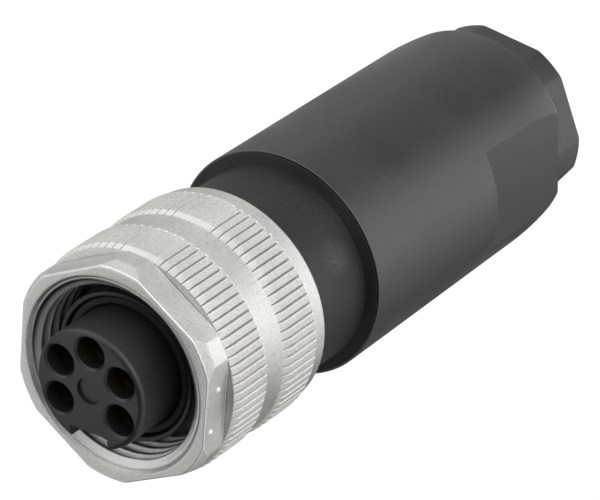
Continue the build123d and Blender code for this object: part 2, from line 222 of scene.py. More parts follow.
def divided(profile, low, high, step):
    """The same closed profile, with its spans between two heights cut into pieces no longer than the step."""
    following = np.roll(profile, -1, 0)
    parts = []
    for here, there in zip(profile, following):
        inside = low - 0.01 <= min(here[1], there[1]) and max(here[1], there[1]) <= high + 0.01
        count = int(np.ceil(np.linalg.norm(there - here) / step)) if inside else 1
        parts.append(here + (there - here) * np.arange(max(count, 1))[:, None] / max(count, 1))
    return np.concatenate(parts)


def full_turn(columns):
    """One row of evenly spaced angles round the axis."""
    return np.linspace(0, TURN, columns, endpoint=False)[None, :]


def around_axis(across, height, angle):
    """Points at these radii, heights and angles: x = r cos t, y = r sin t, z = height."""
    return np.stack([across * np.cos(angle), across * np.sin(angle), height], -1)


def turned(name, body, profile, columns=256, shape=None, masks=None):
    """A closed profile of (radius, height) rows carried round the Z axis.

    The shape gives each point's radius, and the masks its named values, both from its radius, height and angle.
    """
    angle = full_turn(columns)
    height = profile[:, 1:2] + 0 * angle
    across = profile[:, 0:1] + 0 * angle
    if shape:
        across = shape(across, height, angle)
    grid = around_axis(across, height, angle)
    return closed_surface(name, body, grid, masks(across, height, angle) if masks else None)


def step_between(value, low, high):
    """0 below low, 1 above high and 3t^2 - 2t^3 between them."""
    t = np.clip((value - low) / (high - low), 0, 1)
    return t * t * (3 - 2 * t)


def soft_least(a, b, width):
    """The lesser of a and b, with the corner between them rounded over that width."""
    h = np.clip(0.5 + 0.5 * (b - a) / width, 0, 1)
    return b + (a - b) * h - width * h * (1 - h)


def polygon_radius(angle, sides, apothem, turn):
    """Radius of a regular polygon: apothem / cos(angle from the middle of the nearest flat)."""
    sector = TURN / sides
    from_middle = np.mod(angle - math.radians(turn), sector) - sector / 2
    return apothem / np.cos(from_middle)


def thread_groove(angle, height, pitch, phase):
    """Distance from the nearest groove of a right-hand thread, 0 in it and 0.5 on the crest.

    The place along the pitch is u = frac((z - phase) / pitch - angle / turn), and the distance is min(u, 1 - u).
    """
    u = np.mod((height - phase) / pitch - angle / TURN, 1.0)
    return np.minimum(u, 1 - u)


# The coupling nut's pieces

def tooth_columns():
    """Angles round the nut, close together at each gap's flanks, with the height of the land at each, 0 to 1.

    With share the distance from the gap's middle in tooth pitches, the land rises from 0 at FLANK_START to 1 over
    FLANK_WIDTH, and a painted highlight along the tooth's edge is exp(-((share + place) / width)^2), with the place
    and width given above, on the smaller angle's side.
    """
    half = np.array([0.0, 0.04, 0.08, 0.115, 0.145, 0.175, 0.23, 0.31, 0.42])
    share = np.concatenate([-half[:0:-1], half])
    tooth = np.arange(TEETH)[:, None]
    pitch = TURN / TEETH
    start = math.radians(PAD_ANGLE) - pitch * PAD_TEETH / 2
    angle = (start + (tooth + share) * pitch).ravel()
    land = np.tile(np.clip((np.abs(share) - FLANK_START) / FLANK_WIDTH, 0, 1), TEETH)
    land = soft_least(land, 1.0, 0.14) / soft_least(1.0, 1.0, 0.14)
    edge_highlight = np.tile(np.exp(-((share + HIGHLIGHT_PLACE) / HIGHLIGHT_WIDTH) ** 2), TEETH)
    place = np.mod((angle - start) / pitch + 0.5, TEETH) - 0.5
    on_pad = step_between(place, -FLANK_WIDTH, 0.0) * (1 - step_between(place, PAD_TEETH, PAD_TEETH + FLANK_WIDTH))
    return angle[None, :], land[None, :], on_pad[None, :], edge_highlight[None, :]


def knurled_sleeve():
    """Rear flange, two knurled bands and the groove between them.

    Each row has a height, a land radius and a root radius. The radius at an angle is root + (land - root) x tooth,
    where tooth is 1 on a land and falls to 0 in a gap. Over the pad it is the pad's radius, and at each band's front
    it is the lesser of that and a cone, so that the gaps run out through the cone.
    """
    def plain(*pairs):
        return [(height, radius, radius) for height, radius in pairs]

    def band(rear, front):
        cone = front - CONE_LENGTH * np.linspace(1.25, 0.02, 12)
        return [
            *plain((rear - 0.12, FLANGE_RADIUS), (rear - 0.03, 13.56), (rear, 13.60), (rear + 0.01, 13.74),
                   (rear + 0.04, 13.83), (rear + 0.10, 13.87), (rear + 0.20, 13.885)),
            (rear + 0.27, 13.89, 13.86), (rear + 0.33, 13.89, 13.78), (rear + 0.39, 13.895, 13.66),
            (rear + 0.46, LAND_RADIUS, 13.56), (rear + 0.55, LAND_RADIUS, ROOT_RADIUS),
            (rear + 0.70, LAND_RADIUS, ROOT_RADIUS), ((rear + front) / 2, LAND_RADIUS, ROOT_RADIUS),
            *[(height, LAND_RADIUS, ROOT_RADIUS) for height in cone],
        ]
    rows = np.array([
        *plain((NUT_REAR, SKIRT_BORE + 0.2), (NUT_REAR, 13.15), (NUT_REAR, 13.25), (NUT_REAR + 0.03, 13.38),
               (NUT_REAR + 0.10, 13.47), (NUT_REAR + 0.20, 13.53), (NUT_REAR + 0.32, FLANGE_RADIUS),
               (NUT_REAR + 0.45, FLANGE_RADIUS)),
        *band(REAR_BAND, MIDDLE_GROOVE),
        *plain((MIDDLE_GROOVE + 0.10, FLANGE_RADIUS)),
        *band(FRONT_BAND, SHOULDER),
        *plain((SHOULDER + 0.01, 13.47), (SHOULDER + 0.03, 13.40), (SHOULDER + 0.05, 12.9), (SHOULDER + 0.06, 12.45),
               (SHOULDER - 0.1, SKIRT_BORE + 0.06), (WEB_REAR, SKIRT_BORE + 0.06), (WEB_REAR - 0.1, SKIRT_BORE),
               (NUT_REAR + 0.3, SKIRT_BORE), (NUT_REAR + 0.1, SKIRT_BORE + 0.02)),
    ])
    angle, land, on_pad, edge_highlight = tooth_columns()
    height = rows[:, 0:1] + 0 * angle
    banded = np.clip((rows[:, 1:2] - rows[:, 2:3]) / (LAND_RADIUS - ROOT_RADIUS), 0, 1)
    toothed = rows[:, 2:3] + (rows[:, 1:2] - rows[:, 2:3]) * land
    across = toothed + (LAND_RADIUS - PAD_DROP - toothed) * on_pad * banded
    cone = np.full_like(across, FAR_OUT)
    slope = (LAND_RADIUS - FLANGE_RADIUS) / CONE_LENGTH
    for front in (MIDDLE_GROOVE, SHOULDER):
        near = (height > front - 1.5 * CONE_LENGTH) & (height < front + 0.005)
        cone = np.where(near, FLANGE_RADIUS + slope * (front - height), cone)
    across = np.where(cone < FAR_OUT, soft_least(across, cone, 0.03), across)
    # Painted shade in the knurl's gaps, deepest at the bottom of each gap.
    painted_shade = 0.48 * banded * (1 - land) ** 2 * (1 - on_pad) * np.clip((LAND_RADIUS - 0.1 - across) / 0.25, 0, 1)
    # Painted highlights: a line along one edge of each tooth, a thin line at each band's rear, the front cones
    # brighter towards one side, and a strip where each cone begins.
    painted_highlight = banded * edge_highlight * (1 - on_pad)
    highlight_turn = math.radians(CONE_HIGHLIGHT_TURN)
    for rear, front in ((REAR_BAND, MIDDLE_GROOVE), (FRONT_BAND, SHOULDER)):
        painted_highlight = np.maximum(painted_highlight, np.exp(-((height - rear - 0.13) / 0.08) ** 2))
        on_cone = (height > front - 0.8 * CONE_LENGTH) & (height < front + 0.005)
        painted_highlight = np.maximum(painted_highlight, on_cone * (0.15 + 0.7 * step_between(np.cos(angle - highlight_turn), 0.45, 0.9)))
        painted_highlight = np.maximum(painted_highlight, np.exp(-((height - front + CONE_LENGTH) / 0.18) ** 2) * edge_highlight ** 0.3 * (1 - on_pad))
    return closed_surface("nut_knurled_sleeve", "coupling_nut", around_axis(across, height, angle),
                          {"painted_shade": painted_shade, "painted_highlight": painted_highlight, "matte": banded})


def hexagonal_head():
    """Truncated hexagon on the flat shoulder, with chamfered corners, bore mouth and inner web.

    Outside, the radius is the least of the hexagon, the corner circle and the chamfer cone. At its foot it spreads by
    FOOT_FLARE (1 - sqrt(1 - 0.96 t^2)), with t from 1 on the shoulder to 0 at FOOT_HEIGHT, and the corners are
    tucked in. The front edge is turned in over a small radius, and the rest is a turned profile.
    """
    angle = full_turn(HEX_COLUMNS)
    foot = SHOULDER + 0.02
    rise = np.concatenate([
        np.array([SHOULDER - 0.25]), foot + np.array([0.0, 0.04, 0.09, 0.15, 0.22, 0.32, 0.5]),
        np.linspace(foot + 0.8, NUT_FRONT - 1.45, 4), np.linspace(NUT_FRONT - 1.3, NUT_FRONT - 0.14, 18),
    ])[:, None]
    prism = soft_least(polygon_radius(angle, 6, HEX_APOTHEM, HEX_TURN) + 0 * rise, HEX_CORNER + 0 * rise, 0.06)
    chamfer = CHAMFER_RADIUS + CHAMFER_SLOPE * (NUT_FRONT - rise) + 0 * angle
    prism = soft_least(prism, chamfer, 0.07)
    to_foot = np.clip((foot + FOOT_HEIGHT - rise) / FOOT_HEIGHT, 0, 1)
    flare = FOOT_FLARE * (1 - np.sqrt(1 - 0.96 * to_foot ** 2)) * step_between(FOOT_REACH - prism, 0.0, 0.5)
    tuck = FOOT_TUCK * to_foot ** 2 * (1 - step_between(FOOT_REACH - prism, -0.1, 0.2))
    outside = prism + flare - tuck
    outside[0] = HEX_WALL - 0.08
    rounding = outside[-1] - np.array([0.02, 0.07, 0.14, 0.20])[:, None]
    share = np.linspace(0.15, 1, 5)[:, None]
    face = rounding[-1] + (MOUTH_RADIUS + MOUTH_FLAT - rounding[-1]) * share
    bore = softened([
        (MOUTH_RADIUS + 0.38, NUT_FRONT, 0.04), (MOUTH_RADIUS, NUT_FRONT - 0.36, 0.06), (MOUTH_RADIUS, 76.9, 0.05),
        (THREAD_MAJOR + 0.15, 76.5, 0.05), (THREAD_MAJOR + 0.15, THREAD_REAR, 0.05),
        (THREAD_RELIEF, THREAD_REAR, 0.05), (THREAD_RELIEF, WEB_FRONT, 0.1), (WEB_BORE, WEB_FRONT, 0.1),
        (WEB_BORE, WEB_REAR, 0.1), (HEX_WALL, WEB_REAR, 0.05), (HEX_WALL, SHOULDER - 0.35, 0.05),
    ], 0.05, steps=3)[2:-2]
    across = np.concatenate([outside, rounding, face, bore[:, :1] + 0 * angle])
    height = np.concatenate([
        rise + 0 * angle, NUT_FRONT - np.array([0.10, 0.045, 0.01, 0.0])[:, None] + 0 * angle,
        NUT_FRONT + 0 * face, bore[:, 1:] + 0 * angle,
    ])
    painted_shade, painted_highlight, matte = np.zeros((3, *across.shape))
    # Painted shade at the hexagon's foot, where it meets the shoulder.
    painted_shade[1:6] = 0.3 * step_between(FOOT_REACH - prism[1:6], 0.0, 0.5)
    # Painted highlight on the front edge's rounding.
    painted_highlight[len(rise) - 1:len(rise) + len(rounding)] = 1.0
    matte[:len(rise)] = step_between(prism - chamfer, -0.12, -0.05)
    return closed_surface("nut_hexagonal_head", "coupling_nut", around_axis(across, height, angle),
                          {"painted_shade": painted_shade, "painted_highlight": painted_highlight, "matte": matte})


def inner_thread():
    """Right-hand screw thread in the nut's mouth.

    The radius goes from major to minor along sloping flanks as the distance from the groove grows, and cones at both
    ends of the thread let it start and run out.
    """
    angle = full_turn(THREAD_COLUMNS)
    rise = np.linspace(THREAD_REAR, THREAD_FRONT, THREAD_ROWS)[:, None]
    from_groove = thread_groove(angle - math.radians(THREAD_TURN), rise, THREAD_PITCH, THREAD_PHASE)
    depth = np.clip((from_groove - GROOVE_FLAT) / THREAD_FLANK, 0, 1) * (THREAD_MAJOR - THREAD_MINOR)
    start = np.clip((THREAD_FRONT - 0.03 - rise) * 2.2, 0, 1)
    end = np.clip((rise - THREAD_REAR - 0.1) * 1.2, 0, 1)
    ridge = THREAD_MAJOR - np.minimum(depth, np.minimum(start, end))
    back = np.array([THREAD_REAR - 0.03, THREAD_FRONT + 0.03])[:, None]
    across = np.concatenate([ridge, THREAD_MAJOR + 0.4 + 0 * (back[::-1] + angle)])
    height = np.concatenate([rise + 0 * angle, back[::-1] + 0 * angle])
    behind = np.zeros((2, angle.size))
    # Painted shade in the thread's grooves, and a painted highlight on its crests.
    painted_shade = np.concatenate([0.97 * (1 - step_between(from_groove, 0.08, 0.26)), behind])
    painted_highlight = np.concatenate([step_between(from_groove, 0.28, 0.36), behind])
    return closed_surface("nut_inner_thread", "coupling_nut", around_axis(across, height, angle),
                          {"painted_shade": painted_shade, "painted_highlight": painted_highlight})


def cast_pip(name, along, height):
    """Low round pip on a flat of the hexagon: at s = distance / radius, it stands rise x (1 - s^2)^2 over the flat.

    The rows run from the middle of its face out to its edge, and back over its base inside the wall.
    """
    outwards = np.linspace(0, 1, 9)
    share = np.concatenate([np.linspace(0.001, 1, 9), np.array([1.0, 0.001])])[:, None]
    lift = np.concatenate([PIP_RISE * (1 - outwards ** 2) ** 2, np.array([-0.1, -0.1])])[:, None]
    around = full_turn(PIP_COLUMNS)
    flat = math.radians(PIP_TURN)
    out = np.array([math.cos(flat), math.sin(flat), 0.0])
    side = np.array([-math.sin(flat), math.cos(flat), 0.0])
    middle = out * HEX_APOTHEM + np.array([0.0, 0.0, height]) + side * along
    grid = (middle + out * (lift + 0 * around)[..., None] + side * (PIP_RADIUS * share * np.cos(around))[..., None]
            + np.array([0.0, 0.0, 1.0]) * (PIP_RADIUS * share * np.sin(around))[..., None])
    # The whole pip carries a painted highlight.
    return closed_surface(name, "coupling_nut", grid, {"painted_highlight": 1.0})


# The housings' pieces

def tail_thread(low, high, radius):
    """A shape for turned() that cuts a right-hand thread between two heights, run out at both of its ends."""
    def shape(across, height, angle):
        from_groove = thread_groove(angle, height, TAIL_PITCH, low)
        groove = 1 - np.clip((from_groove - GROOVE_FLAT) / TAIL_FLANK, 0, 1)
        fade = step_between(height, low - 0.1, low + 0.3) * (1 - step_between(height, high - 0.5, high))
        return np.where(across > radius - 0.6, across - TAIL_DEPTH * groove * fade, across)
    return shape


def front_housing():
    """Neck and stop ring of the housing, its threaded tail and the spigot inside the nut."""
    groove_front = SEAL_GROOVE + SEAL_GROOVE_WIDTH
    profile = softened([
        (HOUSING_BORE, HOUSING_REAR), (TAIL_RADIUS - 0.5, HOUSING_REAR), (TAIL_RADIUS, HOUSING_REAR + 0.4),
        (TAIL_RADIUS, SEAL_GROOVE), (SEAL_GROOVE_RADIUS, SEAL_GROOVE), (SEAL_GROOVE_RADIUS, groove_front),
        (TAIL_RADIUS, groove_front), (TAIL_RADIUS, SHELL_FRONT + 0.03), (STOP_RING_RADIUS, SHELL_FRONT + 0.03),
        (STOP_RING_RADIUS, SHELL_FRONT + 0.12, 0.03), (STOP_RING_RADIUS - 0.1, SHELL_FRONT + 0.15, 0.03),
        (NECK_RADIUS, SHELL_FRONT + 0.45, 0.015), (NECK_RADIUS, NECK_FRONT - 0.3), (NECK_RADIUS - 0.3, NECK_FRONT),
        (SPIGOT_RADIUS, NECK_FRONT), (SPIGOT_RADIUS, SPIGOT_FRONT), (INSERT_RADIUS + 0.05, SPIGOT_FRONT),
        (INSERT_RADIUS + 0.05, INSERT_SEAT), (HOUSING_BORE, INSERT_SEAT),
    ], 0.1)
    profile = divided(profile, HOUSING_REAR + 0.4, SEAL_GROOVE, ROW_STEP)

    def dull_ring(across, height, angle):
        fade = 1 - step_between(height, SHELL_FRONT + 0.5, SHELL_FRONT + 1.6)
        return {"matte": (height > SHELL_FRONT + 0.05) * fade}
    return turned("housing_neck_and_tail", "housing", profile, HOUSING_COLUMNS,
                  tail_thread(HOUSING_REAR + 0.4, SEAL_GROOVE - 0.2, TAIL_RADIUS), dull_ring)


def flats_radius(angle):
    """Radius of two opposite flats at an angle: apothem / cos(angle from the flat), or far out beyond them."""
    facing = np.abs(np.mod(angle - math.radians(FLATS_TURN) + TURN / 4, TURN / 2) - TURN / 4)
    return np.where(facing < FLATS_SPAN, FLATS_APOTHEM / np.cos(np.minimum(facing, FLATS_SPAN)), FAR_OUT)


def flats_cut(across, height, angle):
    """Two opposite wrench flats: the radius is at most that of the flats, behind the step."""
    flat = flats_radius(angle)
    cut = soft_least(across, flat + 0 * across, 0.05)
    behind = 1 - step_between(height, FLATS_FRONT - 0.10, FLATS_FRONT + 0.02)
    return np.where(across > SHELL_SKIN, across + (cut - across) * behind, across)


def back_shell():
    """Barrel of the back shell: a slight draft, an arc that closes in towards the gland, and two wrench flats.

    The arc's radius is SHELL_REAR_RADIUS plus the rest of the barrel's radius x (1 - t^2), with t from 0 to 1.
    """
    rise = np.linspace(SHELL_BARREL, SHELL_REAR + 0.35, 8)
    closing = 1 - ((SHELL_BARREL - rise) / (SHELL_BARREL - SHELL_REAR)) ** 2
    arc_radius = SHELL_REAR_RADIUS + (SHELL_BARREL_RADIUS - SHELL_REAR_RADIUS) * closing
    arc = [(radius, height, 0.02) for radius, height in zip(arc_radius, rise)]
    profile = softened([
        (SHELL_RADIUS, SHELL_FRONT, 0.12), *arc, (SHELL_REAR_RADIUS - 0.03, SHELL_REAR, 0.15), *SHELL_BORE,
        (SHELL_LIP, SHELL_FRONT, 0.08),
    ], 0.1)
    step = (profile[:, 1] > FLATS_FRONT) & (np.roll(profile[:, 1], -1) < FLATS_FRONT) & (profile[:, 0] > SHELL_SKIN)
    at = int(np.nonzero(step)[0][0]) + 1
    near = FLATS_FRONT + np.array(FLATS_ROWS)
    draft = (SHELL_RADIUS - SHELL_BARREL_RADIUS) / (SHELL_FRONT - SHELL_BARREL)
    radius = SHELL_BARREL_RADIUS + draft * (near - SHELL_BARREL)
    profile = np.insert(profile, at, np.stack([radius, near], -1), axis=0)

    def flats_and_edge(across, height, angle):
        cut = (np.abs(across - flats_radius(angle)) < 0.03) & (height < FLATS_FRONT)
        # Painted highlight: a pale line round the barrel's front lip.
        edge_highlight = (across > SHELL_RADIUS - 0.2) & (height > SHELL_FRONT - 0.10) & (height < SHELL_FRONT - 0.005)
        return {"matte": cut.astype(float), "edge_highlight": edge_highlight.astype(float)}
    return turned("back_shell_barrel", "back_shell", profile, SHELL_COLUMNS, flats_cut, flats_and_edge)


def gland_nut():
    """Truncated hexagonal gland nut with a rounded end, its bore and its threaded spigot."""
    profile = softened([
        (GLAND_BORE + 0.6, 0.0, 0.08), (GLAND_CORNER - 0.2, 0.0, 0.05), (GLAND_CORNER, 0.2, 0.08),
        (GLAND_CORNER, GLAND_HEAD_FRONT, 0.08), (GLAND_SPIGOT, GLAND_HEAD_FRONT), (GLAND_SPIGOT, GLAND_FRONT - 0.3),
        (GLAND_SPIGOT - 0.3, GLAND_FRONT), (GLAND_BORE, GLAND_FRONT), (GLAND_BORE, 0.6, 0.08),
    ], 0.1)
    profile = divided(profile, GLAND_HEAD_FRONT + 0.05, GLAND_FRONT - 0.2, ROW_STEP)
    cut = tail_thread(GLAND_HEAD_FRONT + 0.25, GLAND_FRONT - 0.1, GLAND_SPIGOT)

    def shape(across, height, angle):
        end = np.clip((GLAND_ROUNDING - height) / GLAND_ROUNDING, 0, 1)
        prism = polygon_radius(angle, 6, GLAND_APOTHEM, GLAND_TURN) - 0.12 * (1 - np.sqrt(1 - end ** 2))
        head = soft_least(across, prism + 0 * across, 0.08)
        return np.where(across > GLAND_SPIGOT + 1.1, head, cut(across, height, angle))
    return turned("gland_hexagon", "gland_nut", profile, GLAND_COLUMNS, shape)


def collar_and_seal():
    """Retaining collar round the spigot, and the seal inside its lip."""
    collar = turned("spigot_collar", "housing", softened([
        (SPIGOT_RADIUS - 0.02, COLLAR_REAR), (COLLAR_RADIUS, COLLAR_REAR), (COLLAR_RADIUS, COLLAR_FRONT - 0.3, 0.05),
        (COLLAR_RADIUS - 0.15, COLLAR_FRONT, 0.05), (COLLAR_RADIUS - 0.57, COLLAR_FRONT, 0.05),
        (COLLAR_RADIUS - 0.72, COLLAR_FRONT - 0.15, 0.05), (COLLAR_RADIUS - 0.72, SPIGOT_FRONT - 0.02),
        (SPIGOT_RADIUS - 0.02, SPIGOT_FRONT - 0.02),
    ], 0.1))
    seal = turned("spigot_face_seal", "housing", softened([
        (INSERT_RADIUS + 0.05, SPIGOT_FRONT), (FACE_SEAL_RADIUS, SPIGOT_FRONT),
        (FACE_SEAL_RADIUS, FACE_SEAL_FRONT - 0.3, 0.1), (FACE_SEAL_RADIUS - 0.25, FACE_SEAL_FRONT, 0.1),
        (INSERT_RADIUS + 0.3, FACE_SEAL_FRONT, 0.1), (INSERT_RADIUS + 0.05, FACE_SEAL_FRONT - 0.3, 0.1),
    ], 0.1))
    return collar, seal


def smooth_copy(name, cad, body, limit):
    """A CAD solid's mesh with its doubled vertices merged, shaded smooth but for edges sharper than the limit."""
    mesh = cad.data.copy()
    for name_of_normals in ("custom_normal", "sharp_face", "sharp_edge"):
        if name_of_normals in mesh.attributes:
            mesh.attributes.remove(mesh.attributes[name_of_normals])
    work = bmesh.new()
    work.from_mesh(mesh)
    bmesh.ops.remove_doubles(work, verts=work.verts, dist=1e-6)
    work.to_mesh(mesh)
    work.free()
    mesh.polygons.foreach_set("use_smooth", np.ones(len(mesh.polygons), bool))
    mesh.set_sharp_from_angle(angle=math.radians(limit))
    piece = bpy.data.objects.new(name, mesh)
    bpy.context.scene.collection.objects.link(piece)
    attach(piece, body)
    even = piece.modifiers.new("even_normals", "WEIGHTED_NORMAL")
    even.mode = "FACE_AREA"
    even.weight = 100
    even.keep_sharp = True
    return piece


# Materials

def shader_group(name, inputs, outputs):
    """An empty shader node group with these named sockets."""
    group = bpy.data.node_groups.new(name, "ShaderNodeTree")
    for label, kind, value in inputs:
        socket = group.interface.new_socket(label, in_out="INPUT", socket_type=kind)
        if value is not None:
            socket.default_value = value
    for label, kind in outputs:
        group.interface.new_socket(label, in_out="OUTPUT", socket_type=kind)
    return group, group.nodes.new("NodeGroupInput"), group.nodes.new("NodeGroupOutput")


def node(tree, kind, **settings):
    """A node with its settings, and its inputs given by name or number."""
    made = tree.nodes.new(kind)
    for key, value in settings.pop("inputs", {}).items():
        made.inputs[key].default_value = value
    for key, value in settings.items():
        setattr(made, key, value)
    return made


def join(tree, *pairs):
    """Links each output to its input."""
    for output, target in pairs:
        tree.links.new(output, target)


def material(name, roughness, metallic=0.0):
    """A material with its Principled shader and an Object coordinate."""
    made = bpy.data.materials.new(name)
    made.use_nodes = True
    tree = made.node_tree
    shader = tree.nodes["Principled BSDF"]
    shader.inputs["Roughness"].default_value = roughness
    shader.inputs["Metallic"].default_value = metallic
    place = tree.nodes.new("ShaderNodeTexCoord")
    return made, tree, shader, place.outputs["Object"]


def put_on(piece, finish):
    """The finish in the piece's every material slot."""
    if not piece.data.materials:
        piece.data.materials.append(finish)
    for number in range(len(piece.material_slots)):
        piece.material_slots[number].material = finish


def use_group(tree, group, place, **values):
    """A group node that reads the place, with its other inputs set by name."""
    made = tree.nodes.new("ShaderNodeGroup")
    made.node_tree = group
    tree.links.new(place, made.inputs["Place"])
    for label, value in values.items():
        made.inputs[label.replace("_", " ")].default_value = value
    return made


def grain_group():
    """Cast or moulded grain: a height of fine over coarser noise, and from 0 to 1 a slow tone and a sharp grain."""
    group, start, end = shader_group(
        "surface_grain",
        [("Place", "NodeSocketVector", None), ("Fine", "NodeSocketFloat", 2600.0),
         ("Coarse", "NodeSocketFloat", 700.0), ("Slow", "NodeSocketFloat", 90.0)],
        [("Height", "NodeSocketFloat"), ("Tone", "NodeSocketFloat"), ("Grain", "NodeSocketFloat")])
    fine = node(group, "ShaderNodeTexNoise", inputs={"Detail": 3.0, "Roughness": 0.6})
    coarse = node(group, "ShaderNodeTexNoise", inputs={"Detail": 2.0, "Roughness": 0.5})
    slow = node(group, "ShaderNodeTexNoise", inputs={"Detail": 3.0, "Roughness": 0.55})
    both = node(group, "ShaderNodeMath", operation="ADD")
    part = node(group, "ShaderNodeMath", operation="MULTIPLY", inputs={1: 0.6})
    spread = node(group, "ShaderNodeMapRange", inputs={"From Min": 0.36, "From Max": 0.64})
    sharp = node(group, "ShaderNodeMapRange", inputs={"From Min": 0.36, "From Max": 0.64})
    join(group, *[(start.outputs["Place"], noise.inputs["Vector"]) for noise in (fine, coarse, slow)],
         (start.outputs["Fine"], fine.inputs["Scale"]), (start.outputs["Coarse"], coarse.inputs["Scale"]),
         (start.outputs["Slow"], slow.inputs["Scale"]), (coarse.outputs["Fac"], part.inputs[0]),
         (fine.outputs["Fac"], both.inputs[0]), (part.outputs[0], both.inputs[1]),
         (fine.outputs["Fac"], sharp.inputs["Value"]), (sharp.outputs["Result"], end.inputs["Grain"]),
         (both.outputs[0], end.inputs["Height"]), (slow.outputs["Fac"], spread.inputs["Value"]),
         (spread.outputs["Result"], end.inputs["Tone"]))
    return group


def dust_group():
    """Pale speckle in patches: fine noise above a threshold, kept where slow noise is high."""
    group, start, end = shader_group(
        "surface_dust",
        [("Place", "NodeSocketVector", None), ("Fine", "NodeSocketFloat", 5200.0),
         ("Patch", "NodeSocketFloat", 160.0)],
        [("Mask", "NodeSocketFloat")])
    fine = node(group, "ShaderNodeTexNoise", inputs={"Detail": 2.0, "Roughness": 0.7})
    patch = node(group, "ShaderNodeTexNoise", inputs={"Detail": 3.0})
    dot = node(group, "ShaderNodeMapRange", inputs={"From Min": 0.54, "From Max": 0.72})
    here = node(group, "ShaderNodeMapRange", inputs={"From Min": 0.46, "From Max": 0.66})
    shown = node(group, "ShaderNodeMath", operation="MULTIPLY")
    join(group, (start.outputs["Place"], fine.inputs["Vector"]), (start.outputs["Fine"], fine.inputs["Scale"]),
         (start.outputs["Place"], patch.inputs["Vector"]), (start.outputs["Patch"], patch.inputs["Scale"]),
         (fine.outputs["Fac"], dot.inputs["Value"]), (patch.outputs["Fac"], here.inputs["Value"]),
         (dot.outputs["Result"], shown.inputs[0]), (here.outputs["Result"], shown.inputs[1]),
         (shown.outputs[0], end.inputs["Mask"]))
    return group


def blended(tree, factor, first, second):
    """A colour that goes from the first to the second with the factor."""
    mix = node(tree, "ShaderNodeMix", data_type="RGBA", inputs={6: (*first, 1), 7: (*second, 1)})
    join(tree, (factor, mix.inputs[0]))
    return mix.outputs[2]


def layered(tree, factor, under, over):
    """A colour socket with the over colour laid on it by the factor."""
    mix = node(tree, "ShaderNodeMix", data_type="RGBA", inputs={7: (*over, 1)})
    join(tree, (factor, mix.inputs[0]), (under, mix.inputs[6]))
    return mix.outputs[2]


def ranged(tree, value, low, high):
    """The value, 0 to 1, carried to the range from low to high."""
    made = node(tree, "ShaderNodeMapRange", inputs={"To Min": low, "To Max": high})
    join(tree, (value, made.inputs["Value"]))
    return made.outputs["Result"]


def named_value(tree, name):
    """The value that the mesh carries under this name, or 0 where it carries none."""
    return node(tree, "ShaderNodeAttribute", attribute_name=name).outputs["Fac"]


def bumped(tree, shader, height, distance):
    """A bump of that height, its distance in metres, on the shader's normal."""
    bump = node(tree, "ShaderNodeBump", inputs={"Distance": distance, "Strength": 1.0})
    join(tree, (height, bump.inputs["Height"]), (bump.outputs["Normal"], shader.inputs["Normal"]))


PALER = 0.055                                   # how much specks, the painted lip highlight and the rubbed patch are paler than the light tone
RUBBED_POINT = (0.01051, 0.00619, 0.05075)      # metres, on the neck
RUBBED_REACH = 0.0026                           # metres

grain = grain_group()
dust = dust_group()


def plated_casting():
    """Satin nickel on a zinc casting: fine grain, painted edge highlights, painted shade in grooves, duller bands."""
    made, tree, shader, place = material("cast_nickel", 0.40, 1.0)
    surface = use_group(tree, grain, place, Fine=6400.0, Coarse=1300.0, Slow=140.0)
    matte = named_value(tree, "matte")
    tone = blended(tree, surface.outputs["Tone"], (0.86, 0.86, 0.85), (0.96, 0.96, 0.95))
    tone = layered(tree, ranged(tree, surface.outputs["Grain"], 0.0, 0.52), tone, (0.50, 0.50, 0.49))
    tone = layered(tree, ranged(tree, matte, 0.0, 0.16), tone, (0.45, 0.45, 0.44))
    # Painted highlight on edges, thread crests and pips.
    tone = layered(tree, ranged(tree, named_value(tree, "painted_highlight"), 0.0, 0.9), tone, (1.0, 1.0, 0.99))
    # Painted shade in the knurl's gaps, the thread's grooves and the hexagon's foot.
    tone = layered(tree, named_value(tree, "painted_shade"), tone, (0.03, 0.03, 0.03))
    rough = node(tree, "ShaderNodeMath", operation="ADD")
    join(tree, (ranged(tree, surface.outputs["Tone"], 0.38, 0.46), rough.inputs[0]),
         (ranged(tree, matte, 0.0, 0.34), rough.inputs[1]),
         (rough.outputs[0], shader.inputs["Roughness"]), (tone, shader.inputs["Base Color"]))
    bumped(tree, shader, surface.outputs["Height"], 0.00005)
    return made


